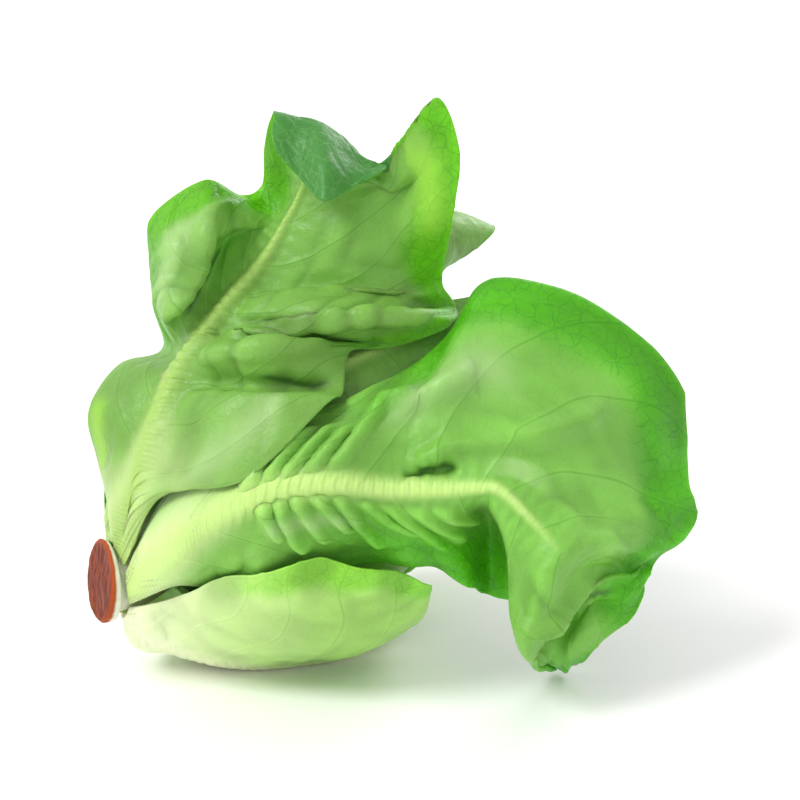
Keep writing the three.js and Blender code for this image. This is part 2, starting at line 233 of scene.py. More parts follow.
def leafPiece(leaf, surface):
    rows, columns = leaf["rows"], leaf["columns"]
    u = np.linspace(0, 1, rows + 1)[:, None] * np.ones((1, columns + 1))
    even = np.linspace(-1, 1, columns + 1)[None, :] * np.ones((rows + 1, 1))
    v = np.sign(even) * np.abs(even) ** 1.15
    seed = leaf["seed"]
    along, out = arcs(surface(u, v))
    side = np.where(v < 0, 0, 7)
    # a ragged margin: the leaf is cut back here and there between its side veins
    notch = softNoise(along / leaf["notchLength"], side + 0.5, seed) * 0.5 + 0.5
    notch += 0.5 * np.abs(softNoise(along / leaf["notchLength"] * 3.1, side + 2.5, seed + 1))
    v = v * (1 - leaf["notch"] * notch * np.abs(v) ** 6 * ease(u * 3))
    middle = surface(u, v)
    along, out = arcs(middle)
    reach = np.abs(out)
    edge = np.where(v < 0, reach[:, :1], reach[:, -1:]) - reach

    folded = np.zeros(u.shape)
    for places, width, rise in leaf.get("folds", []):
        mask = ridgeMask(middle, u, v, onLeaf(leaf, places), width)
        folded = np.maximum(folded, ease(mask * 4))
        middle = middle + outwardsOf(middle) * (mask * rise)[..., None]

    lift = gather(leaf, middle, u, v)
    # puckered skin between the veins
    away = ease((reach - 0.004) / 0.012) * ease(u * 6) * ease(edge / 0.006)
    pucker = np.abs(softNoise(along / 0.013 + 30, out / 0.010 + 30, seed + 2)) - 0.35
    small = softNoise(along / 0.0058 + 30, out / 0.0050 + 30, seed + 3)
    strength = leaf["pucker"] * (0.65 + 0.5 * softNoise(along / 0.04 + 30, out / 0.04 + 30, seed + 8))
    lift += strength * away * (1.3 * pucker + 0.4 * small)
    # crimps that run out from the rib
    slant = along + 0.35 * reach
    wander = softNoise(slant / 0.02 + 30, side + 1.5, seed + 4)
    crimp = np.sin(2 * math.pi * slant / leaf["crimpLength"] + 2.4 * wander)
    near = ease(reach / 0.006) * np.exp(-((reach / leaf["crimpReach"]) ** 2)) * ease(u * 4 - 0.4)
    patchy = 0.5 + 0.5 * softNoise(along / 0.03 + 30, side + 4.5, seed + 5)
    lift += leaf["crimp"] * near * patchy * crimp
    # waves at the margin
    wave = np.sin(2 * math.pi * along / leaf["waveLength"] + 3 * softNoise(along / 0.03, side + 6.5, seed + 6))
    lift += leaf["wave"] * np.exp(-((edge / 0.012) ** 2)) * ease(u * 3 - 0.3) * wave
    # side veins leave the rib and curve towards the tip: one at each whole number of this phase
    irregular = 0.35 * softNoise(along / 0.035 + 30, out / 0.025 + 30, seed + 9)
    phase = leaf["veins"] * (u - leaf["veinRise"] * np.abs(v) ** 1.3) + irregular + 0.5 * (v < 0)
    gap = along[-1, 0] / leaf["veins"]
    offVein = np.abs(phase - np.rint(phase)) * gap
    veins = np.exp(-((offVein / 0.0012) ** 2)) * ease(reach / 0.004) * (1 - 0.7 * ease(np.abs(v)))
    lift += leaf["veinHeight"] * veins
    middle = middle + outwardsOf(middle) * lift[..., None]

    # the rib: broad and high at the base, a thin ridge towards the tip, crimped across
    ribWide = mix(leaf["ribWidth"], 0.0013, ease(u / leaf["ribEnd"]) ** 0.6)
    ribShape = np.exp(-((reach / ribWide) ** 2.6)) * ease((leaf["ribEnd"] - u) * 8 + 0.15)
    unevenBumps = softNoise(along / 0.01 + 30, out / 0.004 + 30, seed + 7)
    bumps = 1 + 0.07 * ease(u * 5 - 0.5) * np.sin(2 * math.pi * along / 0.0036 + 2 * unevenBumps)
    ribRise = leaf["ribHeight"] * ease(u * 8) * mix(1, 0.22, u / leaf["ribEnd"]) * ribShape * bumps
    half = mix(leaf["baseThickness"], leaf["thickness"], ease(u * 4)) / 2
    half = half * mix(0.45, 1, ease(edge / 0.004))
    facing = outwardsOf(middle)
    outer = middle + facing * (half + ribRise)[..., None]
    inner = middle - facing * half[..., None]
    outer[..., 2] = np.maximum(outer[..., 2], head["restHeight"])
    inner[..., 2] = np.maximum(inner[..., 2], head["restHeight"] + leaf["thickness"])
    # crest: how far the skin stands proud, used by the skin to paint ridges lighter and hollows darker (painted
    # highlight and shade)
    crest = np.clip(lift / max(leaf["pucker"], 1e-6), -1, 1)
    fields = {
        "along": u, "edge": edge, "rib": ribShape, "phase": phase,
        "reach": reach, "crest": crest, "metres": along, "folded": folded,
    }
    # masks for the tints: pale skin with a painted sheen, a painted glow of light through thin skin, a blush, and
    # painted shade in hollows
    for tint in ("paleAndSheen", "paintedGlow", "blush", "hollow"):
        fields[tint] = np.zeros(u.shape)
        for places, width in leaf.get(tint, []):
            mask = ridgeMask(middle, u, v, onLeaf(leaf, places), width)
            fields[tint] = np.maximum(fields[tint], mask)
    piece = leafMesh(leaf["name"], rows, columns, outer, inner, fields)
    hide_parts(leaf["node"])
    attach(piece, "root")
    piece.data.materials.append(leaf["skin"])
    print("leaf made:", leaf["name"], len(piece.data.polygons), "faces")
    return piece


# One leaf laid out along its rib: at each station the left and right margins, the rib between
# them, and how far each half swells out. The base row sits on the stem.
base = {"height": 0.004, "radius": 0.01205, "halfWidth": 26}


def station(left, rib, right, swell):
    # millimetres in, a row in metres out
    metres = [tuple(value / 1000 for value in group) for group in (left, rib, right, swell)]
    return dict(zip(("left", "rib", "right", "swell"), metres))


def laidSurface(leaf):
    stations = leaf["stations"]
    v = np.array([-1, -0.5, 0, 0.5, 1])
    same = np.ones(len(v))
    baseRow = stemPoint(base["height"] * same, base["radius"] * same, leaf["angle"] + v * base["halfWidth"])
    ribs = np.array([baseRow[2]] + [station["rib"] for station in stations])
    rows = [baseRow]
    for k, station in enumerate(stations):
        middle = ribs[k + 1]
        along = ribs[min(k + 2, len(ribs) - 1)] - ribs[k]
        left, right = np.array(station["left"]), np.array(station["right"])
        leftHalf = (left + middle) / 2 + unit(np.cross(middle - left, along)) * station["swell"][0]
        rightHalf = (right + middle) / 2 + unit(np.cross(right - middle, along)) * station["swell"][1]
        rows.append(np.array([left, leftHalf, middle, rightHalf, right]))
    rails = np.array(rows)

    def surface(u, v):
        row = smoothLine(rails, u[:, 0])  # five points across each row
        place = (v + 1) / 2 * 4
        k = np.clip(np.floor(place).astype(int), 0, 3)
        f = (place - k)[..., None]
        ends = np.concatenate([2 * row[:, :1] - row[:, 1:2], row, 2 * row[:, -1:] - row[:, -2:-1]], axis=1)
        which = np.arange(len(row))[:, None]
        a, b, c, d = (ends[which, k + n] for n in range(4))
        m, n = (c - a) / 2, (d - b) / 2
        point = (2 * b - 2 * c + m + n) * f**3 + (3 * c - 3 * b - 2 * m - n) * f**2 + m * f + b
        for station, across, long, wide, move in leaf["bends"]:
            share = np.exp(-(((u * len(stations) - station) / long) ** 2) - ((v - across) / wide) ** 2)
            point = point + share[..., None] * np.array(move)
        return point

    return surface


def openSurface(leaf):
    profile, widths = np.array(leaf["profile"]), np.array(leaf["halfWidth"], float)

    def surface(u, v):
        rise = smoothLine(profile, u[:, 0], True)
        height, radius = rise[:, :1], rise[:, 1:]
        both = smoothLine(widths, u[:, 0], True)
        spread = np.where(v < 0, both[:, :1], both[:, 1:])
        tucked = np.where(v < 0, leaf["tuck"][0], leaf["tuck"][1]) * np.abs(v) * ease(u * 5)
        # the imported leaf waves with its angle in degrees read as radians
        ripple = leaf["ripple"] * np.abs(v) ** 3 * ease(u * 1.8 - 0.6) * np.sin(u * 21 + v * 2 + leaf["angle"])
        drop = 1 - 0.2 * np.abs(v) ** 2.5 * ease(u * 1.4)
        place = (height * drop, radius + tucked + ripple, leaf["angle"] + leaf["twist"] * u + v * spread)
        return mix(stemPoint(*place), headPoint(*place), ease(u * 4)[..., None])

    return surface


# Leaves that wrap the heart, each clear of the one inside it
heart = {
    "radius": 0.013,
    "step": 0.0031,
    "base": 0.046,
    "baseStep": 0.0024,
    "top": 0.080,
    "topStep": 0.0044,
    "leaves": 7,
    "wrappers": 6,
}
stemShape = {
    "collar": 0.0135,
    "neck": 0.0104,
    "bud": 0.003,
    "cut": -0.0024,
    "neckLength": 0.012,
    "length": 0.049,
    "around": 144,
}


def coreRadius(height):
    if height < stemShape["neckLength"]:
        return stemShape["neck"]
    share = (height - stemShape["neckLength"]) / (stemShape["length"] - stemShape["neckLength"])
    return mix(stemShape["neck"], stemShape["bud"], share)


def wrappedSurface(shell):
    radius = heart["radius"] + heart["step"] * shell
    bottom = heart["base"] - heart["baseStep"] * shell
    top = heart["top"] + heart["topStep"] * shell
    reach, centre = (top - bottom) / 2, (top + bottom) / 2
    clear = 0.00165  # between the stem and the middle of the leaf

    def onStem(degrees):
        turn = math.radians(degrees)
        return radius * math.sin(turn) < coreRadius(centre - reach * math.cos(turn)) + clear

    start = 2.0
    while onStem(start):
        start += 0.5
    end = 132 + 5 * (shell % 3)

    def surface(u, v):
        turn = mix(start, end - 26 * np.abs(v) ** 3, u)
        spread = mix(38, 76, ease(u * 2.2)) * (1 - 0.35 * ease(u * 2.5 - 1.5))
        ripple = 0.00035 * np.abs(v) ** 2 * np.sin(u * 15 + v * 3 + shell) * ease(u * 3)
        height = centre - reach * np.cos(np.radians(turn))
        return headPoint(height, radius * np.sin(np.radians(turn)) + ripple, shell * 137.5 + 20 + v * spread)

    return surface


def addNode(tree, kind, at, **values):
    node = tree.nodes.new(kind)
    node.location = at
    for name, value in values.items():
        setattr(node, name, value)
    return node


def mixColours(tree, at, blend="MIX"):
    return addNode(tree, "ShaderNodeMix", at, data_type="RGBA", blend_type=blend)


# Colour and relief of leaf skin, used by every leaf
def leafSkinGroup():
    tree = bpy.data.node_groups.new("leafSkin", "ShaderNodeTree")
    for name, kind, default in (
        ("Base", "NodeSocketColor", (0.75, 0.85, 0.5, 1)),
        ("Blade", "NodeSocketColor", (0.2, 0.5, 0.05, 1)),
        ("Margin", "NodeSocketColor", (0.2, 0.5, 0.05, 1)),
        ("Inner side", "NodeSocketColor", (0.1, 0.3, 0.05, 1)),
        ("Rib", "NodeSocketColor", (0.7, 0.85, 0.4, 1)),
        ("Base ends", "NodeSocketFloat", 0.4),
        ("Margin width", "NodeSocketFloat", 0.02),
        ("Network", "NodeSocketFloat", 0.3),
    ):
        socket = tree.interface.new_socket(name, in_out="INPUT", socket_type=kind)
        socket.default_value = default
    tree.interface.new_socket("Colour", in_out="OUTPUT", socket_type="NodeSocketColor")
    tree.interface.new_socket("Height", in_out="OUTPUT", socket_type="NodeSocketFloat")
    tree.interface.new_socket("Roughness", in_out="OUTPUT", socket_type="NodeSocketFloat")
    link = tree.links.new
    given = addNode(tree, "NodeGroupInput", (-1400, 0))
    result = addNode(tree, "NodeGroupOutput", (900, 0))

    def field(name, at):
        return addNode(tree, "ShaderNodeAttribute", at, attribute_name=name).outputs["Fac"]

    def ramp(source, low, high, at, clampTo=(0, 1)):
        node = addNode(tree, "ShaderNodeMapRange", at, interpolation_type="SMOOTHSTEP")
        link(source, node.inputs["Value"])
        node.inputs["From Min"].default_value = low
        node.inputs["From Max"].default_value = high
        node.inputs["To Min"].default_value, node.inputs["To Max"].default_value = clampTo
        return node.outputs["Result"]

    def calculate(how, a, b, at):
        node = addNode(tree, "ShaderNodeMath", at, operation=how)
        for k, value in enumerate((a, b)):
            if isinstance(value, (int, float)):
                node.inputs[k].default_value = value
            else:
                link(value, node.inputs[k])
        return node.outputs[0]

    def blendTo(a, b, share, at, how="MIX"):
        node = mixColours(tree, at, how)
        for value, key in ((share, 0), (a, 6), (b, 7)):
            if isinstance(value, (int, float, tuple)):
                node.inputs[key].default_value = value
            else:
                link(value, node.inputs[key])
        return node.outputs[2]

    where = addNode(tree, "ShaderNodeTexCoord", (-1400, -500)).outputs["Object"]

    def noise(scale, detail, at, rough=0.5):
        node = addNode(tree, "ShaderNodeTexNoise", at)
        link(where, node.inputs["Vector"])
        node.inputs["Scale"].default_value = scale
        node.inputs["Detail"].default_value = detail
        node.inputs["Roughness"].default_value = rough
        return node.outputs["Fac"]

    broad = noise(28, 3, (-1200, -500))
    fine = noise(520, 4, (-1200, -750), 0.6)
    wrinkles = noise(170, 4, (-1200, -900), 0.55)
    patches = calculate("SUBTRACT", broad, 0.5, (-1000, 100))
    # pale foot that greens towards the blade, with an uneven front
    uneven = calculate("MULTIPLY", patches, 0.25, (-900, 100))
    rise = calculate("ADD", field("along", (-1200, 300)), uneven, (-800, 300))
    near = ramp(field("reach", (-1200, 450)), 0.0, 0.016, (-900, 450), (-0.06, 0.03))
    end = calculate("DIVIDE", calculate("ADD", rise, near, (-750, 400)), given.outputs["Base ends"], (-700, 300))
    foot = ramp(end, 0.05, 1.0, (-600, 300))
    colour = blendTo(given.outputs["Base"], given.outputs["Blade"], foot, (-400, 300))
    # the margin band: partly the margin's own saturated green, partly a painted glow of light through the thin
    # edge
    uneven = calculate("MULTIPLY", patches, 0.02, (-900, 600))
    band = calculate("ADD", field("edge", (-1200, 600)), uneven, (-800, 600))
    band = calculate("DIVIDE", band, given.outputs["Margin width"], (-700, 600))
    beyondFoot = ramp(rise, 0.25, 0.55, (-600, 750))
    nearEdge = calculate("MULTIPLY", ramp(band, 1.15, 0.55, (-600, 600)), beyondFoot, (-400, 550))
    colour = blendTo(colour, given.outputs["Margin"], nearEdge, (-200, 300))
    # random patches vary the tone, and light and shade are painted in: skin that stands proud is painted lighter,
    # hollows a shaded deeper green
    cloudy = ramp(broad, 0.3, 0.7, (-400, 0), (0.88, 1.12))
    crestLightAndShade = ramp(field("crest", (-600, 0)), -0.8, 0.8, (-400, 100), (0.80, 1.14))
    # this value holds the random tone times the painted light and shade of the crests
    light = calculate("MULTIPLY", cloudy, crestLightAndShade, (-200, 50))
    toneAndPaintedLight = addNode(tree, "ShaderNodeHueSaturation", (0, 300))
    link(light, toneAndPaintedLight.inputs["Value"])
    link(colour, toneAndPaintedLight.inputs["Color"])
    colour = toneAndPaintedLight.outputs["Color"]
    # the fine network of veins
    warp = addNode(tree, "ShaderNodeTexNoise", (-1400, -1000))
    link(where, warp.inputs["Vector"])
    warp.inputs["Scale"].default_value = 120
    bent = addNode(tree, "ShaderNodeMix", (-1200, -1000), data_type="VECTOR")
    bent.inputs[0].default_value = 0.006
    link(where, bent.inputs[4])
    link(warp.outputs["Color"], bent.inputs[5])
    meshes = []
    for scale, width, weight in ((190, 0.05, 1.0), (460, 0.08, 0.5)):
        cells = addNode(tree, "ShaderNodeTexVoronoi", (-1000, -1000 - scale), feature="DISTANCE_TO_EDGE")
        link(bent.outputs[1], cells.inputs["Vector"])
        cells.inputs["Scale"].default_value = scale
        mesh = ramp(cells.outputs["Distance"], width, 0.0, (-800, -1000 - scale))
        meshes.append(calculate("MULTIPLY", mesh, weight, (-600, -1000 - scale)))
    # side veins, one at each whole number of the phase
    beside = calculate("PINGPONG", field("phase", (-1000, -1700)), 0.5, (-800, -1700))
    sideVein = calculate("MULTIPLY", ramp(beside, 0.026, 0.006, (-600, -1700)), 0.7, (-500, -1700))
    net = calculate("MAXIMUM", meshes[0], meshes[1], (-400, -1000))
    net = calculate("MULTIPLY", net, ramp(nearEdge, 0.0, 1.0, (-400, -1100), (0.22, 0.9)), (-350, -1050))
    lines = calculate("MAXIMUM", net, sideVein, (-300, -1200))
    lines = calculate("MULTIPLY", lines, foot, (-200, -1000))
    shade = calculate("MULTIPLY", lines, given.outputs["Network"], (-100, -900))
    colour = blendTo(colour, (0.30, 0.52, 0.12, 1), shade, (200, 300), "MULTIPLY")
    ribShare = calculate("MULTIPLY", field("rib", (-600, -500)), 0.9, (-400, -500))
    colour = blendTo(colour, given.outputs["Rib"], ribShare, (500, 300))
    # tints at chosen places: pale skin with a painted sheen, a painted glow of light through thin skin, a blush,
    # and painted shade in hollows
    for name, tint, share in (
        ("paleAndSheen", (0.40, 0.60, 0.24, 1), 0.6),
        ("paintedGlow", (0.30, 0.58, 0.05, 1), 0.75),
        ("blush", (0.72, 0.36, 0.12, 1), 0.6),
        ("hollow", (0.015, 0.07, 0.006, 1), 0.8),
    ):
        amount = calculate("MULTIPLY", field(name, (400, 700)), share, (500, 700))
        colour = blendTo(colour, tint, amount, (600, 500))
    # the inner side is darker and bluer away from the foot, but takes the outer side's colour in
    # folds, where the sheet crosses itself and the inner side would show through
    inside = calculate("MULTIPLY", field("inner", (-600, -700)), foot, (-400, -700))
    unfolded = calculate("SUBTRACT", 1.0, field("folded", (-600, -800)), (-400, -800))
    inside = calculate("MULTIPLY", inside, unfolded, (-300, -700))
    lace = calculate("MULTIPLY", meshes[0], 0.2, (300, -300))
    dull = blendTo(given.outputs["Inner side"], (0.28, 0.46, 0.2, 1), lace, (400, -100))
    colour = blendTo(colour, dull, inside, (650, 300))
    link(colour, result.inputs["Colour"])
    crossed = addNode(tree, "ShaderNodeMath", (-200, -1500), operation="SINE")
    link(calculate("MULTIPLY", field("metres", (-600, -1500)), 3700, (-400, -1500)), crossed.inputs[0])
    onRib = calculate("MULTIPLY", crossed.outputs[0], field("rib", (-200, -1700)), (0, -1500))
    raised = calculate("MULTIPLY", lines, 0.35, (0, -900))
    relief = calculate("ADD", raised, calculate("MULTIPLY", fine, 0.7, (0, -750)), (200, -800))
    relief = calculate("ADD", relief, calculate("MULTIPLY", wrinkles, 2.2, (200, -700)), (300, -800))
    relief = calculate("ADD", relief, calculate("MULTIPLY", onRib, 0.2, (200, -1500)), (400, -900))
    link(relief, result.inputs["Height"])
    link(ramp(fine, 0.3, 0.7, (200, -500), (0.34, 0.5)), result.inputs["Roughness"])
    return tree


skinGroup = leafSkinGroup()


def leafSkin(name, look):
    material = bpy.data.materials.new(name)
    material.use_nodes = True
    tree = material.node_tree
    tree.nodes.clear()
    output = addNode(tree, "ShaderNodeOutputMaterial", (600, 0))
    shader = addNode(tree, "ShaderNodeBsdfPrincipled", (300, 0))
    skin = addNode(tree, "ShaderNodeGroup", (-200, 0), node_tree=skinGroup)
    for socket in ("Base", "Blade", "Margin", "Inner side", "Rib"):
        skin.inputs[socket].default_value = (*look[socket], 1)
    skin.inputs["Base ends"].default_value = look["Base ends"]
    skin.inputs["Margin width"].default_value = look["Margin width"]
    skin.inputs["Network"].default_value = look["Network"]
    bump = addNode(tree, "ShaderNodeBump", (50, -200))
    bump.inputs["Strength"].default_value = look["relief"]
    bump.inputs["Distance"].default_value = 0.0005
    link = tree.links.new
    link(skin.outputs["Colour"], shader.inputs["Base Color"])
    link(skin.outputs["Roughness"], shader.inputs["Roughness"])
    link(skin.outputs["Height"], bump.inputs["Height"])
    link(bump.outputs["Normal"], shader.inputs["Normal"])
    shader.inputs["IOR"].default_value = 1.38
    shader.inputs["Sheen Weight"].default_value = 0.03
    shader.inputs["Subsurface Weight"].default_value = look["through"]
    shader.inputs["Subsurface Radius"].default_value = (0.0022, 0.0034, 0.0008)
    shader.inputs["Subsurface Scale"].default_value = 1.0
    link(shader.outputs["BSDF"], output.inputs["Surface"])
    return material


greenSkin = leafSkin("outerLeafGreen", {
    "Base": (0.56, 0.72, 0.30),
    "Blade": (0.185, 0.395, 0.066),
    "Margin": (0.115, 0.42, 0.002),
    "Inner side": (0.055, 0.23, 0.035),
    "Rib": (0.36, 0.56, 0.13),
    "Base ends": 0.20,
    "Margin width": 0.015,
    "Network": 0.55,
    "relief": 0.6,
    "through": 0.45,
})
frontSkin = leafSkin("frontLeafGreen", {
    "Base": (0.66, 0.80, 0.40),
    "Blade": (0.20, 0.46, 0.07),
    "Margin": (0.080, 0.40, 0.001),
    "Inner side": (0.055, 0.23, 0.035),
    "Rib": (0.56, 0.78, 0.24),
    "Base ends": 0.26,
    "Margin width": 0.026,
    "Network": 0.55,
    "relief": 0.6,
    "through": 0.45,
})
paleSkin = leafSkin("outerLeafPale", {
    "Base": (0.74, 0.88, 0.48),
    "Blade": (0.38, 0.66, 0.14),
    "Margin": (0.24, 0.60, 0.04),
    "Inner side": (0.16, 0.42, 0.05),
    "Rib": (0.92, 0.98, 0.66),
    "Base ends": 0.7,
    "Margin width": 0.012,
    "Network": 0.4,
    "relief": 0.5,
    "through": 0.45,
})
wrapperSkin = leafSkin("wrapperLeaf", {
    "Base": (0.42, 0.62, 0.17),
    "Blade": (0.26, 0.50, 0.08),
    "Margin": (0.20, 0.48, 0.04),
    "Inner side": (0.13, 0.35, 0.05),
    "Rib": (0.50, 0.68, 0.24),
    "Base ends": 0.34,
    "Margin width": 0.012,
    "Network": 0.35,
    "relief": 0.5,
    "through": 0.45,
})
heartSkin = leafSkin("heartLeaf", {
    "Base": (0.86, 0.86, 0.56),
    "Blade": (0.72, 0.80, 0.30),
    "Margin": (0.62, 0.76, 0.20),
    "Inner side": (0.66, 0.78, 0.26),
    "Rib": (0.86, 0.86, 0.56),
    "Base ends": 0.6,
    "Margin width": 0.012,
    "Network": 0.3,
    "relief": 0.4,
    "through": 0.45,
})
print("leaf skins made")

plainLeaf = {
    "rows": 120,
    "columns": 90,
    "thickness": 0.0010,
    "baseThickness": 0.0020,
    "ribHeight": 0.0026,
    "ribWidth": 0.0042,
    "ribEnd": 1.0,
    "pucker": 0.0013,
    "crimp": 0.0004,
    "crimpLength": 0.0045,
    "crimpReach": 0.010,
    "wave": 0.0010,
    "waveLength": 0.024,
    "notch": 0.03,
    "notchLength": 0.012,
    "veins": 9,
    "veinRise": 0.16,
    "veinHeight": 0.0003,
}

topLeaf = dict(plainLeaf, **{
    "name": "topLeaf",
    "node": "outer_leaf_top",
    "slot": "green_leaf",
    "skin": greenSkin,
    "seed": 11,
    "rows": 320,
    "columns": 132,
    "angle": -55,
    "spans": 15,
    "veins": 13,
    "ribHeight": 0.0050,
    "ribWidth": 0.0076,
    "ribEnd": 0.84,
    "pucker": 0.0014,
    "notch": 0.012,
    "wave": 0.0006,
    "folds": [
        ([(7.2, 0.05), (7.8, 0.28), (8.2, 0.62), (8.5, 0.92)], 0.0050, 0.0025),
        ([(6.6, 0.10), (7.0, 0.40), (7.5, 0.66), (8.0, 0.97)], 0.0034, -0.0025),
        ([(5.9, 0.08), (6.2, 0.35), (6.7, 0.58), (7.2, 0.95)], 0.0036, 0.0035),
        ([(5.2, 0.10), (5.5, 0.36), (5.8, 0.60), (6.2, 0.97)], 0.0034, -0.0030),
        ([(4.7, 0.08), (4.9, 0.50), (5.1, 0.92)], 0.0034, 0.0040),
        ([(4.0, 0.10), (4.0, 0.62), (4.3, 0.97)], 0.0036, -0.0045),
        ([(5.4, -0.46), (6.5, -0.38), (7.5, -0.38), (8.4, -0.50), (9.3, -0.78)], 0.0040, 0.006),
    ],
    # pale skin, with a painted sheen along raised bulges
    "paleAndSheen": [
        ([(5.6, -0.55), (6.6, -0.60), (7.6, -0.62), (8.4, -0.70)], 0.014),
        ([(1.8, 0.55), (2.4, 0.70), (3.2, 0.80)], 0.012),
    ],
    # painted glow of light through thin skin
    "paintedGlow": [
        ([(9.6, 0.92), (10.4, 0.84), (11.2, 0.78), (11.9, 0.72)], 0.010),
        ([(1.6, -0.80), (2.4, -0.82), (3.4, -0.85)], 0.012),
    ],
    "blush": [
        ([(3.6, -0.10), (4.6, -0.12), (5.4, -0.10)], 0.0022),
    ],
    "hollow": [
        ([(6.5, 0.14), (6.9, 0.40), (7.5, 0.68), (8.1, 1.0)], 0.0017),
        ([(5.1, 0.20), (5.4, 0.40), (5.8, 0.62), (6.3, 1.0)], 0.0016),
        ([(4.2, 0.50), (4.2, 0.75), (4.3, 0.95)], 0.0018),
        ([(5.9, -0.20), (6.8, -0.22), (7.8, -0.22)], 0.0024),
    ],
    "stations": [
        station((-92, -28, 64), (-81, -40, 65), (-72, -48, 71), (3, 2)),
        station((-96, -18, 74), (-76, -38, 82), (-45, -64, 81), (3, 5)),
        station((-99, -14, 89), (-72, -33, 94), (-20, -57, 103), (3, 10)),
        station((-90, -4, 102), (-68, -30, 104), (-15, -48, 104), (2, 9)),
        station((-77, 8, 105), (-63, -28, 112), (-13, -34, 114), (0, 18)),
        station((-77, -10, 124), (-59, -26, 118), (-1, -26, 113), (10, 8)),
        station((-79, -10, 140), (-54, -23, 124), (19, -18, 119), (13, 21)),
        station((-77, -6, 152), (-48, -20, 131), (21, -8, 123), (13, 7)),
        station((-60, -6, 164), (-41, -16, 139), (16, -8, 131), (3, 10)),
        station((-50, 2, 157), (-35, -13, 148), (19, -26, 154), (-6, 3)),
        station((-43, 6, 160), (-30, -11, 157), (21, -30, 178), (-4, 0)),
        station((-42, 3, 173), (-27, -10, 166), (13, -30, 194), (-2, 0)),
        station((-38, -8, 186), (-23, -8, 182), (1, -20, 170), (0, 0)),
        station((-38, -16, 181), (-21, -28, 173), (-1, -17, 170), (4, 2)),
        station((-37, -20, 175), (-21, -36, 162), (-2, -22, 170), (5, 2)),
    ],
    "bends": [
        (7.8, -0.22, 1.4, 0.13, (0.003, 0.018, 0.007)),
        (10.4, 0.62, 1.1, 0.12, (0.002, 0.006, 0)),
        (11.9, 0.62, 0.9, 0.22, (0.001, 0.003, -0.019)),
    ],
})
leafPiece(topLeaf, laidSurface(topLeaf))

frontLeaf = dict(plainLeaf, **{
    "name": "frontLeaf",
    "node": "outer_leaf_front",
    "slot": "green_leaf",
    "skin": frontSkin,
    "seed": 23,
    "rows": 320,
    "columns": 132,
    "angle": 8,
    "spans": 13,
    "veins": 11,
    "ribHeight": 0.0036,
    "ribWidth": 0.0086,
    "ribEnd": 0.84,
    "pucker": 0.0013,
    "folds": [
        ([(5.0, -0.75), (5.8, -0.55), (6.6, -0.45), (7.4, -0.48)], 0.0075, 0.005),
        ([(6.3, -0.12), (6.9, -0.18), (8.2, -0.24), (8.7, -0.42), (8.8, -0.66)], 0.0042, 0.0042),
        ([(6.2, -0.06), (6.8, -0.09), (7.4, -0.10)], 0.0030, -0.0035),
        ([(10.2, 0.42), (11.3, 0.30), (11.8, 0.05), (12.0, -0.35), (11.7, -0.85)], 0.0030, 0.0062),
        ([(10.9, 0.75), (11.9, 0.36), (12.4, 0.05), (12.6, -0.45)], 0.0046, -0.0055),
    ],
    "gathers": [
        {"from": 3.5, "to": 5.1, "count": 5, "foot": 0.10, "reach": 0.62,
         "slant": 0.45, "rise": 0.0036, "width": 0.0023},
        {"from": 5.5, "to": 6.9, "count": 4, "foot": 0.12, "reach": 0.58,
         "slant": 0.8, "rise": 0.0026, "width": 0.0030},
        {"from": 3.1, "to": 4.9, "count": 5, "foot": -0.10, "reach": -0.62,
         "slant": 0.25, "rise": 0.0028, "width": 0.0026},
    ],
    # pale skin, with a painted sheen along the raised bulge
    "paleAndSheen": [
        ([(5.2, -0.55), (6.0, -0.50), (7.0, -0.50), (7.8, -0.56)], 0.014),
        ([(3.4, 0.35), (4.4, 0.35), (5.4, 0.35)], 0.008),
        ([(8.6, -0.20), (9.2, -0.10)], 0.010),
    ],
    "hollow": [
        ([(11.0, 0.62), (11.75, 0.32), (12.2, 0.05), (12.35, -0.40)], 0.0014),
        ([(6.4, -0.08), (6.9, -0.11), (7.3, -0.11)], 0.0030),
    ],
    "stations": [
        station((-71, -42, 70), (-70, -53, 54), (-69, -47, 41), (2, 2)),
        station((-54, -50, 84), (-58, -56, 65), (-57, -47, 40), (3, 3)),
        station((-36, -50, 97), (-45, -62, 74), (-44, -51, 42), (3, 3)),
        station((-15, -47, 102), (-33, -64, 79), (-32, -54, 46), (3, 3)),
        station((1, -36, 108), (-18, -64, 80), (-12, -55, 50), (5, 3)),
        station((15, -24, 114), (-2, -60, 77), (9, -49, 48), (7, 4)),
        station((30, -12, 132), (15, -60, 77), (24, -43, 39), (9, -1)),
        station((64, -10, 126), (27, -61, 78), (32, -36, 32), (4, -11)),
        station((94, -14, 100), (33, -62, 77), (41, -42, 32), (2, 1)),
        station((96, -20, 68), (42, -62, 68), (42, -36, 18), (1, 12)),
        station((99, -26, 57), (52, -62, 57), (50, -30, 7), (1, 18)),
        station((84, -40, 45), (60, -60, 44), (55, -22, 1.8), (1, 13)),
        station((81, -41, 42), (67, -45, 22), (58, -26, 6), (4, 4)),
    ],
    "bends": [
        (11, 0.1, 0.45, 0.7, (0, -0.006, 0.001)),
        (11.95, 0.1, 0.4, 0.9, (0, 0.009, 0)),
    ],
})
leafPiece(frontLeaf, laidSurface(frontLeaf))

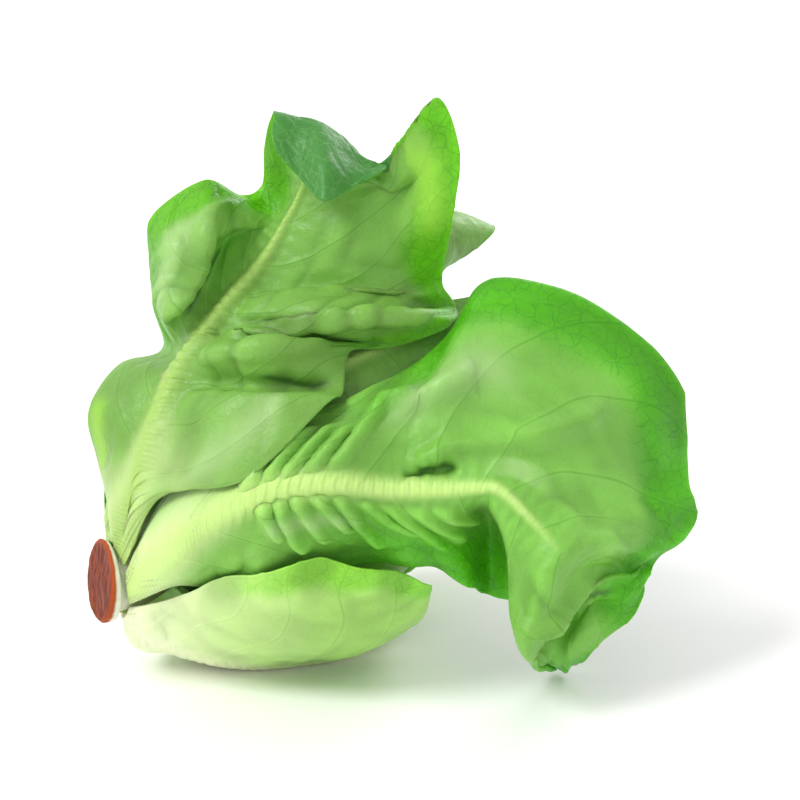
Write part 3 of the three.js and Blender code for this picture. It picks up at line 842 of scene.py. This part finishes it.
bottomLeaf = dict(plainLeaf, **{
    "name": "bottomLeaf",
    "node": "outer_leaf_bottom",
    "slot": "pale_leaf",
    "skin": paleSkin,
    "seed": 37,
    "rows": 200,
    "columns": 150,
    "angle": 71,
    "spans": 7,
    "veins": 7,
    "ribWidth": 0.0150,
    "ribEnd": 1.6,
    "pucker": 0.0008,
    "stations": [
        station((-71, -46, 36), (-79, -27, 17), (-84, -10, 9), (3, 3)),
        station((-57, -54, 45), (-64, -22, 8), (-68, 14, 8), (7, 4)),
        station((-39, -61, 52), (-48, -17, 3), (-50, 31, 4), (10, 3)),
        station((-22, -67, 58), (-33, -13, 2.5), (-32, 37, 4), (13, 3)),
        station((-4, -63, 53), (-18, -8, 3), (-14, 35, 4), (11, 3)),
        station((10, -50, 44), (-4, 0, 8), (0, 26, 8), (7, 3)),
        station((12, -36, 37), (3, 4, 14), (5, 15, 12), (4, 1)),
    ],
    "bends": [],
})
leafPiece(bottomLeaf, laidSurface(bottomLeaf))

# Leaves that open away from the head behind the three laid out above
openLeaves = [
    {
        "name": "bottomBackLeaf", "node": "outer_leaf_bottom_back", "seed": 41, "angle": 131, "twist": 0,
        "profile": [
            (0.004, 0.01205), (0.013, 0.022), (0.024, 0.035), (0.042, 0.048),
            (0.066, 0.056), (0.092, 0.058), (0.118, 0.062), (0.138, 0.072),
        ],
        "halfWidth": [
            (24, 26), (21, 31), (23, 34), (24, 36),
            (24, 34), (24, 30), (22, 24), (12, 12),
        ],
        "tuck": (-0.004, 0.004), "ripple": 0.003, "skin": paleSkin,
    },
    {
        "name": "backLeaf", "node": "outer_leaf_back", "seed": 43, "angle": 192, "twist": 0,
        "profile": [
            (0.004, 0.01205), (0.013, 0.022), (0.024, 0.035), (0.042, 0.048),
            (0.066, 0.059), (0.092, 0.068), (0.114, 0.078), (0.130, 0.092),
        ],
        "halfWidth": [
            (26, 26), (30, 29), (33, 31), (34, 33),
            (31, 33), (29, 32), (24, 26), (12, 12),
        ],
        "tuck": (-0.005, 0.006), "ripple": 0.004, "skin": greenSkin,
    },
    {
        "name": "topBackLeaf", "node": "outer_leaf_top_back", "seed": 47, "angle": 248, "twist": 22,
        "profile": [
            (0.004, 0.01205), (0.013, 0.021), (0.024, 0.032), (0.044, 0.047), (0.072, 0.058),
            (0.104, 0.061), (0.134, 0.059), (0.158, 0.054), (0.172, 0.042),
        ],
        "halfWidth": [
            (26, 26), (29, 20), (31, 20), (34, 26), (38, 32),
            (40, 36), (39, 38), (36, 37), (18, 20),
        ],
        "tuck": (-0.004, -0.002), "ripple": 0.004, "skin": greenSkin,
    },
    {
        "name": "innerTopLeaf", "node": "inner_leaf_top", "seed": 53, "angle": -40, "twist": 0,
        "profile": [
            (0.012, 0.0117), (0.020, 0.0185), (0.034, 0.034), (0.056, 0.049),
            (0.084, 0.053), (0.110, 0.048), (0.132, 0.043), (0.148, 0.040),
        ],
        "halfWidth": [
            (24, 26), (20, 28), (14, 32), (12, 38),
            (18, 42), (26, 42), (26, 34), (16, 20),
        ],
        "tuck": (0.002, -0.002), "ripple": 0.003, "skin": greenSkin,
    },
]
for leaf in openLeaves:
    leaf = dict(plainLeaf, slot="pale_leaf", **leaf)
    leafPiece(leaf, openSurface(leaf))

tightLeaf = dict(
    plainLeaf, rows=64, columns=64, thickness=0.0010, baseThickness=0.0013, ribHeight=0.0002,
    pucker=0.0002, crimp=0.0001, wave=0.0002, notch=0.02, veins=6, veinHeight=0.0002,
)
for shell in range(heart["leaves"] + heart["wrappers"]):
    inHeart = shell < heart["leaves"]
    number = shell + 1 if inHeart else shell - heart["leaves"] + 1
    leaf = dict(tightLeaf, name=("heartLeaf" if inHeart else "wrapperLeaf") + str(number),
                node=("heart_leaf_" if inHeart else "wrapper_leaf_") + str(number),
                slot="heart_leaf" if inHeart else "wrapper_leaf",
                skin=heartSkin if inHeart else wrapperSkin, seed=100 + 9 * shell)
    leafPiece(leaf, wrappedSurface(shell))


# The stem: a browned, fibrous cut face with a redder rim, a collar, and the pale neck behind it
def stemSkin():
    look = {
        "dry": (0.11, 0.018, 0.009),
        "fresh": (0.27, 0.055, 0.022),
        "rim": (0.40, 0.07, 0.013),
        "ring": (0.80, 0.80, 0.66),
        "neck": (0.78, 0.84, 0.52),
    }
    material = bpy.data.materials.new("cutStem")
    material.use_nodes = True
    tree = material.node_tree
    tree.nodes.clear()
    link = tree.links.new
    output = addNode(tree, "ShaderNodeOutputMaterial", (900, 0))
    shader = addNode(tree, "ShaderNodeBsdfPrincipled", (600, 0))
    where = addNode(tree, "ShaderNodeTexCoord", (-900, 0)).outputs["Object"]
    stretch = addNode(tree, "ShaderNodeMapping", (-700, 0))
    stretch.inputs["Scale"].default_value = (1.4, 1.4, 0.28)  # fibres stand upright on the cut
    link(where, stretch.inputs["Vector"])
    streaks = addNode(tree, "ShaderNodeTexNoise", (-500, 0))
    streaks.inputs["Scale"].default_value = 520
    streaks.inputs["Detail"].default_value = 5
    link(stretch.outputs["Vector"], streaks.inputs["Vector"])
    blotches = addNode(tree, "ShaderNodeTexNoise", (-500, -300))
    blotches.inputs["Scale"].default_value = 130
    link(where, blotches.inputs["Vector"])
    back = addNode(tree, "ShaderNodeAttribute", (-500, 400), attribute_name="back").outputs["Fac"]
    ring = addNode(tree, "ShaderNodeAttribute", (-500, 600), attribute_name="ring").outputs["Fac"]

    def step(source, low, high, at):
        node = addNode(tree, "ShaderNodeMapRange", at, interpolation_type="SMOOTHSTEP")
        link(source, node.inputs["Value"])
        node.inputs["From Min"].default_value = low
        node.inputs["From Max"].default_value = high
        return node.outputs["Result"]

    def blendTo(a, b, share, at):
        node = mixColours(tree, at)
        link(share, node.inputs[0])
        for value, key in ((a, 6), (b, 7)):
            if isinstance(value, tuple):
                node.inputs[key].default_value = (*value, 1)
            else:
                link(value, node.inputs[key])
        return node.outputs[2]

    colour = blendTo(look["dry"], look["fresh"], step(streaks.outputs["Fac"], 0.38, 0.62, (-300, 0)), (-100, 100))
    colour = blendTo(colour, look["dry"], step(blotches.outputs["Fac"], 0.55, 0.75, (-300, -300)), (50, 100))
    colour = blendTo(colour, look["rim"], step(ring, 0.88, 1.0, (-300, 600)), (200, 100))
    colour = blendTo(colour, look["ring"], step(back, 0.0014, 0.0024, (-300, 400)), (350, 100))
    colour = blendTo(colour, look["neck"], step(back, 0.004, 0.010, (-300, 800)), (450, 100))
    link(colour, shader.inputs["Base Color"])
    bump = addNode(tree, "ShaderNodeBump", (400, -300))
    bump.inputs["Strength"].default_value = 0.8
    bump.inputs["Distance"].default_value = 0.0006
    link(streaks.outputs["Fac"], bump.inputs["Height"])
    link(bump.outputs["Normal"], shader.inputs["Normal"])
    shader.inputs["Roughness"].default_value = 0.6
    shader.inputs["IOR"].default_value = 1.3
    shader.inputs["Subsurface Weight"].default_value = 0.15
    shader.inputs["Subsurface Radius"].default_value = (0.002, 0.0012, 0.0006)
    link(shader.outputs["BSDF"], output.inputs["Surface"])
    return material


def stemPiece():
    around = stemShape["around"]
    collar = stemShape["collar"]
    # (height, radius) from the middle of the cut out over the rim and back to the growing tip
    cut, neck = stemShape["cut"], stemShape["neck"]
    rings = [(cut, collar * k / 14) for k in range(1, 14)]
    rings += [(cut + 0.0003, collar - 0.0006), (cut + 0.0009, collar), (cut + 0.0021, collar)]
    rings += [(0.0006, collar - 0.0002), (0.0012, collar - 0.0005)]
    rings += [(0.0016, neck + 0.0003), (0.004, neck), (0.008, neck), (stemShape["neckLength"], neck)]
    for k in range(1, 7):
        height = mix(stemShape["neckLength"], stemShape["length"] - 0.001, k / 6)
        rings.append((height, coreRadius(height)))
    bm = bmesh.new()
    bmesh.ops.create_circle(bm, segments=around, radius=1)
    edges = bm.edges[:]
    for _ in rings[1:]:
        made = bmesh.ops.extrude_edge_only(bm, edges=edges)["geom"]
        for vert in [item for item in made if isinstance(item, bmesh.types.BMVert)]:
            vert.co.z += 1
        edges = [item for item in made if isinstance(item, bmesh.types.BMEdge) and item.is_boundary]
    low = [e for e in bm.edges if e.is_boundary and e.verts[0].co.z < 0.5]
    high = [e for e in bm.edges if e.is_boundary and e.verts[0].co.z > 0.5]
    bmesh.ops.contextual_create(bm, geom=low)
    bmesh.ops.contextual_create(bm, geom=high)
    mesh = bpy.data.meshes.new("stem")
    bm.to_mesh(mesh)
    bm.free()
    count = len(mesh.vertices)
    co = np.zeros(count * 3, np.float32)
    mesh.vertices.foreach_get("co", co)
    co = co.reshape(-1, 3)
    k = np.rint(co[:, 2]).astype(int)
    turn = np.arctan2(co[:, 1], co[:, 0])
    height, radius = np.array(rings)[k].T
    behind = height - cut
    # fibres and dips on the cut, and a rim that isn't quite round
    acrossCut = radius * np.cos(turn)
    upCut = radius * np.sin(turn)
    fibres = softNoise(acrossCut / 0.0011 + 40, upCut / 0.006 + 40, 71) * 0.00025
    dips = softNoise(acrossCut / 0.005 + 40, upCut / 0.005 + 40, 72) * 0.0005
    onCut = ease((collar - radius) / 0.003) * (behind < 0.0005)
    rough = softNoise(turn * 9 + 40, height / 0.004 + 40, 73) * 0.00025 * (height < 0.0012)
    place = stemPoint(height + onCut * (fibres + dips + 0.0005), radius + rough, np.degrees(turn)) + toFrame
    mesh.vertices.foreach_set("co", place.astype(np.float32).ravel())
    for name, values in (("back", behind), ("ring", radius / collar * (behind < 0.0024))):
        spread = mesh.attributes.new(name, "FLOAT", "POINT")
        spread.data.foreach_set("value", values.astype(np.float32))
    bm = bmesh.new()
    bm.from_mesh(mesh)
    bmesh.ops.recalc_face_normals(bm, faces=bm.faces)
    bm.to_mesh(mesh)
    bm.free()
    mesh.shade_smooth()
    piece = bpy.data.objects.new("stem", mesh)
    bpy.context.scene.collection.objects.link(piece)
    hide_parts("stem")
    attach(piece, "root")
    mesh.materials.append(stemSkin())
    print("stem made")


stemPiece()

# Floor, light and camera
studio = {
    "floorHalf": 12,
    "floorColour": (0.94, 0.94, 0.93),
    "worldStrength": 0.80,
    "sunStrength": 2.0,
    "sunFrom": (-0.8, -0.5, 1.0),
    "sunSpread": 26,  # degrees
    "backEnergy": 4,
    "backFrom": (0.5, 0.9, 0.6),
}


def studioFloor():
    bm = bmesh.new()
    bmesh.ops.create_grid(bm, x_segments=2, y_segments=2, size=studio["floorHalf"])
    mesh = bpy.data.meshes.new("floor")
    bm.to_mesh(mesh)
    bm.free()
    floor = bpy.data.objects.new("floor", mesh)
    bpy.context.scene.collection.objects.link(floor)
    material = bpy.data.materials.new("paleFloor")
    material.use_nodes = True
    shader = material.node_tree.nodes["Principled BSDF"]
    shader.inputs["Base Color"].default_value = (*studio["floorColour"], 1)
    shader.inputs["Roughness"].default_value = 0.7
    mesh.materials.append(material)


def areaLight(name, energy, place, size):
    lamp = bpy.data.lights.new(name, "AREA")
    lamp.energy = energy
    lamp.size = size
    light = bpy.data.objects.new(name, lamp)
    light.location = place
    aim = Vector((0, 0, 0.08)) - Vector(place)
    light.rotation_euler = aim.to_track_quat("-Z", "Y").to_euler()
    bpy.context.scene.collection.objects.link(light)


def sunLight():
    lamp = bpy.data.lights.new("keyLight", "SUN")
    lamp.energy = studio["sunStrength"]
    lamp.angle = math.radians(studio["sunSpread"])
    light = bpy.data.objects.new("keyLight", lamp)
    light.rotation_euler = (-Vector(studio["sunFrom"])).to_track_quat("-Z", "Y").to_euler()
    bpy.context.scene.collection.objects.link(light)


def studioWorld():
    world = bpy.data.worlds.new("studioWorld")
    world.use_nodes = True
    tree = world.node_tree
    backdrop = tree.nodes["Background"]  # what lights the head
    backdrop.inputs["Color"].default_value = (1, 1, 1, 1)
    backdrop.inputs["Strength"].default_value = studio["worldStrength"]
    bpy.context.scene.world = world


studioFloor()
sunLight()
areaLight("backLight", studio["backEnergy"], studio["backFrom"], 0.6)
studioWorld()

view = {"target": (0.0026, -0.0179, 0.0883), "distance": 0.735, "rise": 15, "lens": 100}
camera = bpy.data.objects.new("camera", bpy.data.cameras.new("camera"))
camera.data.lens = view["lens"]
camera.data.sensor_width = 36
rise = math.radians(view["rise"])
target = Vector(view["target"])
camera.location = target + Vector((0, -math.cos(rise), math.sin(rise))) * view["distance"]
camera.rotation_euler = (target - camera.location).to_track_quat("-Z", "Y").to_euler()
bpy.context.scene.collection.objects.link(camera)
bpy.context.scene.camera = camera
bpy.context.scene.view_settings.view_transform = "Standard"
print("studio made")
